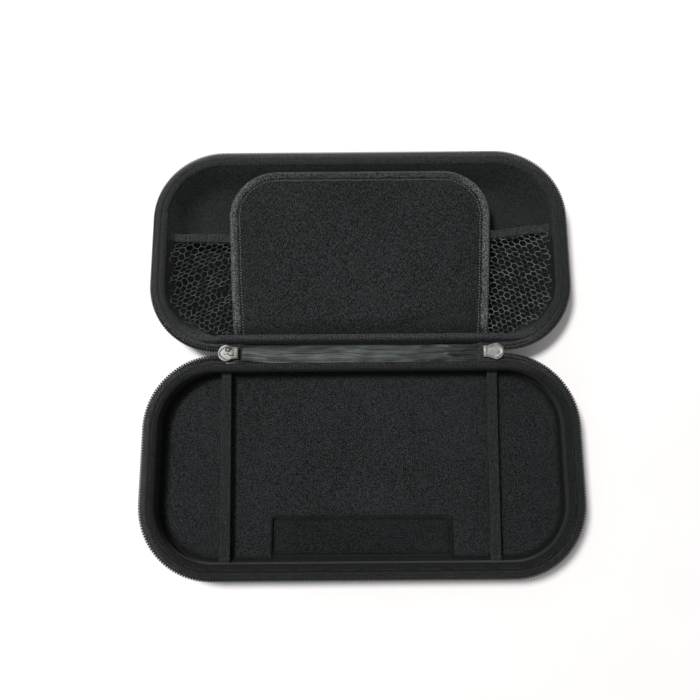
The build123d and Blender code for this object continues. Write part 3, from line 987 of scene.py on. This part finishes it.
def flap_wave(x, y):
    """Soft waves of the padded cloth, with folds near the seam."""
    wave = ripple(x + 0.3 * y, (0.16, 58, 0.5), (0.10, 29, 1.7)) + ripple(y - 0.2 * x, (0.12, 41, 0.9))
    for at_x, at_y, slant, depth in ((50, 23, 0.16, 1.7), (27, 17.5, 0.26, 1.2), (-52, 19, -0.15, 0.4)):
        across = y - at_y - slant * (x - at_x)
        wave = wave - depth * np.exp(-(across / 2.1) ** 2 - ((x - at_x) / 16) ** 2)
    return wave


def flap_pad():
    """The flap's padded panel: crowned, a little wavy, closed below."""
    far = flap_tip - 1.5
    bend = far - flap_corner
    ys = np.concatenate([np.linspace(flap_low[1] - 0.5, bend, 60)[:-1],
                         bend + flap_corner * np.sin(np.linspace(0, np.pi / 2, 24))])
    shares = np.sin(np.linspace(-np.pi / 2, np.pi / 2, 111))
    rings = []
    for y in ys:
        x = shares * (flap_half_width(min(y + 0.6, flap_tip - 0.05)) - 1.6)
        edge = np.clip((1 - shares ** 6) * (1 - max(0, (y - 66) / 60) ** 6), 0, 1)
        sunk = flap_root(x, y)
        top = flap_level + 0.75 + (0.75 + flap_wave(x, y)) * edge - sunk
        low = flap_level - 0.9 - 0.3 * edge - 0.5 * sunk
        rings.append(there_and_back(x, np.full_like(x, y), top, low))
    return skin("flap_pad", rings, ys, flap_weave, angle=80)


def flap_band():
    """The binding rolled round the flap's free edge."""
    steps = np.linspace(-1.5, flap_run.length + 1.5, 301)
    angles = np.linspace(0, 2 * np.pi, 25)[:-1]
    rings = []
    for s in steps:
        place, outward = flap_run.at(s)
        puff = 1 + ripple(s, (0.035, 6.1, 0), (0.03, 3.9, 1.2), (0.03, 17, 0.4))
        sunk = flap_root(*place) + 1.3 * (1 - ease(min(s, flap_run.length - s), -1.5, 9))
        height = flap_band_height * (1 - 0.15 * min(sunk, 3))
        ring = []
        for angle in angles:
            out = (np.cos(angle) - 1) * flap_band_width / 2 * puff + 0.1
            up = np.sin(angle) * height / 2 * puff * (1 - 0.25 * max(0, -np.cos(angle)))
            ring.append((*(place + outward * out), flap_level - 0.8 * sunk + up))
        rings.append(ring)
    return skin("flap_band", rings, steps, flap_band_weave)


def flap_seam():
    """The rows of stitches through the flap's binding."""
    points, edges = [], []
    for inset, lift in ((6.4, 1.3), (1.6, 2.0)):
        first = len(points)
        for s in np.linspace(2, flap_run.length - 2, 301):
            place, outward = flap_run.at(s)
            sunk = flap_root(*place)
            points.append((*(place - outward * (inset + ripple(s, (0.15, 14, 0)))), flap_level + lift - sunk))
        edges += [(i, i + 1) for i in range(first, len(points) - 1)]
    return grown(wire("flap_seam", points, edges), stitch_row, flap_thread,
                 Pitch=1.9, Length=1.2, Width=0.45, Height=0.4, Slant=28)


pad = flap_pad()
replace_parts(pad, "flap_panel")
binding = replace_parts(flap_band(), "flap_binding")
for piece in (pad, binding, flap_seam()):
    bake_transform(piece)


# Hinge strip and zip ends

def strip_height(x, y):
    """Long creases along the strip, which sinks beside the lid."""
    bent = y + 0.012 * x + ripple(x, (0.7, 63, 0), (0.4, 29, 1))
    crease = ripple(bent, (0.46, 4.7, 0.3), (0.26, 2.6, 1.9), (0.12, 1.5, 0.8))
    fold = -2.0 * np.exp(-((y - 0.5 - 0.06 * (x - 62)) / 0.8) ** 2) * ease(x, 40, 64)
    calm = 1 - 0.6 * ease(np.abs(y), 4.5, 6.2)
    sink = 1.0 * ease(y, 0.0, 4.0) + 3.2 * ease(y, 3.4, 6.2) + 0.5 * ease(-y, 3.0, 6.2)
    sink = sink + 2.4 * ease(x - 2.5 * y, 56, 68) * (1 - ease(y, 0.5, 2.2))
    uneven = ripple(x, (0.25, 47, 0.6), (0.15, 19, 2.1))
    return (crease * (0.4 + 0.6 * ease(x, -30, 50)) + fold + uneven) * calm - sink


def hinge_cloth():
    """The creased nylon strip between the halves."""
    end_x = strip_high[0] - 1.4
    xs = np.linspace(-end_x, end_x, 191)
    shares = np.linspace(-1, 1, 49)
    level = (strip_low[2] + strip_high[2]) / 2
    rings = []
    for x in xs:
        end = ease(abs(x), end_x - 22, end_x)
        y = shares * strip_high[1] * (1 - 0.34 * end) - 0.5 * end
        z = level + strip_height(x, y)
        rings.append(there_and_back(np.full_like(y, x), y, z + strip_cloth / 2, z - strip_cloth / 2))
    return skin("hinge_cloth", rings, xs, strip_nylon, angle=80)


strip = hinge_cloth()
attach(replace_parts(strip, "hinge_strip"), "spine")


def chain_tape(node):
    """The closed end of the zip's tapes, which runs on under the strip."""
    low, high = node_box(node)
    side = math.copysign(1, low[0])
    near, far = min(abs(low[0]), abs(high[0])), max(abs(low[0]), abs(high[0]))
    level = (low[2] + high[2]) / 2
    xs = np.linspace(near - chain_run, far, 30)
    rings = []
    for x in xs:
        dip = chain_dip * (1 - ease(x, near - 5, near + 1))
        width = strip_high[1] - (strip_high[1] - high[1]) * ease(x, near - 1, near + 1)
        line = [(y, level - dip + ripple(y, (0.05, 3, 0))) for y in np.linspace(-width, width, 15)]
        rings.append([(side * x, y, z) for y, z in ribbon(line, chain_cloth)])
    return skin(f"{node}_tape", rings, xs, tape_weave)


def chain_teeth(node):
    """The closed teeth at the zip's end."""
    low, high = node_box(node)
    level = (low[2] + high[2]) / 2
    points = [(low[0] + 0.4, 0, level), (high[0] - 0.4, 0, level)]
    return grown(wire(f"{node}_teeth", points, head=[(0, 0, 1)] * 2), coil_teeth, coil_nylon,
                 Pitch=tooth_pitch / 2, Height=1.0, Width=2.4, Wire=0.3, Head=0.6, Twist=10)


for node in ("zip_chain_left", "zip_chain_right"):
    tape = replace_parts(chain_tape(node), node)
    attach(tape, "spine")
    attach(chain_teeth(node), "spine")


# Sliders and pulls

def softened(node, name, radius, finish):
    """A copy of a solid with its edges rounded."""
    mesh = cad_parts[node].data.copy()
    with reworked(mesh) as work:
        bmesh.ops.remove_doubles(work, verts=work.verts, dist=0.002 * MM)
        bmesh.ops.dissolve_limit(work, angle_limit=math.radians(1), verts=work.verts, edges=work.edges)
        sharp = [e for e in work.edges if e.is_manifold and e.calc_face_angle() > math.radians(35)]
        bmesh.ops.bevel(work, geom=sharp, offset=radius * MM, segments=3, profile=0.6,
                        affect="EDGES", clamp_overlap=True)
    mesh.shade_smooth()
    mesh.set_sharp_from_angle(angle=math.radians(40))
    mesh.name = name
    return new_piece(name, mesh, finish)


def slider_crown(side):
    """The raised shield on top of a slider. The left one is sculpted in lobes, the right one is plain."""
    nose, tail = slider_high[0] - 0.35, slider_low[0] + 0.3
    long = nose - tail
    shape = smooth_line([(0, 3.1), (0.10, 3.15), (0.20, 3.25), (0.34, 4.2), (0.46, 4.9), (0.56, 4.8),
                         (0.74, 3.7), (0.92, 2.0), (0.98, 1.1), (1, 0)], 3)
    shape = shape * (long, 1) + (tail, 0)
    outline = np.vstack([shape, (shape * (1, -1))[-2::-1]])
    centre = np.array([tail + 0.52 * long, 0])
    turn = np.arctan2(outline[:, 1], outline[:, 0] - centre[0])
    lobes = np.cos(turn - 2.0) + 0.5 * np.cos(3 * turn + 1.2)
    steps = [(1.0, -0.5, 0), (1.0, 0.05, 0), (0.97, 0.3, 0), (0.91, 0.4, 0)]
    if side < 0:
        steps += [(0.84, 0.35, 0.1), (0.76, -0.3, 0.35), (0.62, -0.05, 0.5), (0.45, 0.2, 0.45),
                  (0.25, 0.2, 0.25)]
    else:
        steps += [(0.86, 0.38, 0), (0.8, 0.26, 0), (0.6, 0.28, 0), (0.35, 0.32, 0)]
    rings = []
    for share, lift, lobe in steps + [(0.02, 0.34, 0)]:
        flat = centre + (outline - centre) * share
        heights = slider_high[2] + lift + lobe * lobes
        rings.append([(side * x, y, z) for (x, y), z in zip(flat, heights)])
    return skin(f"slider_crown_{'right' if side > 0 else 'left'}", rings, range(len(rings)),
                plated if side > 0 else cast, angle=60)


for node, side in (("slider_left", -1), ("slider_right", 1)):
    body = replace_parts(softened(node, f"{node}_body", 0.3, plated if side > 0 else cast), node)
    for piece in (body, slider_crown(side)):
        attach(piece, "spine")
for node in ("pull_left", "pull_right"):
    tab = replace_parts(softened(node, f"{node}_tab", 0.25, pull_plated), node)
    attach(tab, node)


# Moulded halves keep their solids

for half in SIDES:
    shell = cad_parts[f"{half}_shell"]
    shell.data.materials.clear()
    shell.data.materials.append(shell_cloth)


# Floor, light and camera

def studio_floor():
    """A pale floor that stays white to the camera and keeps the case's shadow."""
    mesh = bpy.data.meshes.new("studio_floor")
    corners = [(-1, -1, 0), (1, -1, 0), (1, 1, 0), (-1, 1, 0)]
    mesh.from_pydata(np.array(corners) * floor_reach, [], [(0, 1, 2, 3)])
    paper = Finish("floor_paper", Roughness=0.9, Specular_IOR_Level=0.1)
    grain = paper.noise(paper.place(), 60.0)
    paper.set("Base Color", paper.tones(grain, (0.3, (0.86, 0.84, 0.83, 1)), (0.7, (0.88, 0.86, 0.85, 1))))
    rays = paper.node("ShaderNodeLightPath").outputs
    seen = paper.math("MAXIMUM", rays["Is Camera Ray"],
                      paper.math("MAXIMUM", rays["Is Glossy Ray"], rays["Is Transmission Ray"]))
    paper.shader.inputs["Emission Color"].default_value = (1, 1, 1, 1)
    paper.set("Emission Strength", paper.math("MULTIPLY", seen, floor_glow))
    new_piece("studio_floor", mesh, paper.material)


def studio_light():
    """An even white surround and a broad soft lamp from the upper left."""
    world = bpy.data.worlds.new("studio")
    scene.world = world
    world.use_nodes = True
    surround = world.node_tree.nodes["Background"].inputs
    surround["Color"].default_value = (1, 1, 1, 1)
    surround["Strength"].default_value = surround_strength
    lamp = bpy.data.lights.new("key_lamp", "AREA")
    lamp.shape = "DISK"
    lamp.size = lamp_size
    lamp.energy = lamp_power
    key = bpy.data.objects.new("key_lamp", lamp)
    key.location = lamp_place
    key.rotation_mode = "QUATERNION"
    key.rotation_quaternion = (-key.location).to_track_quat("-Z", "Y")
    scene.collection.objects.link(key)


def photo_camera():
    """The camera above the base's front, looking down and a little towards the lid."""
    back = Vector((0, -math.sin(camera_tilt), math.cos(camera_tilt)))
    eye = bpy.data.cameras.new("photo_camera")
    eye.sensor_width = sensor_width
    eye.lens = sensor_width * focal_pixels / frame_pixels
    eye.shift_x = shift_pixels / frame_pixels
    camera = bpy.data.objects.new("photo_camera", eye)
    camera.location = (Vector(camera_aim) + back * camera_distance) * MM
    camera.rotation_mode = "QUATERNION"
    camera.rotation_quaternion = (-back).to_track_quat("-Z", "Y") @ Quaternion((0, 0, 1), camera_roll)
    scene.collection.objects.link(camera)
    scene.camera = camera


studio_floor()
studio_light()
photo_camera()
scene.view_settings.view_transform = "Standard"
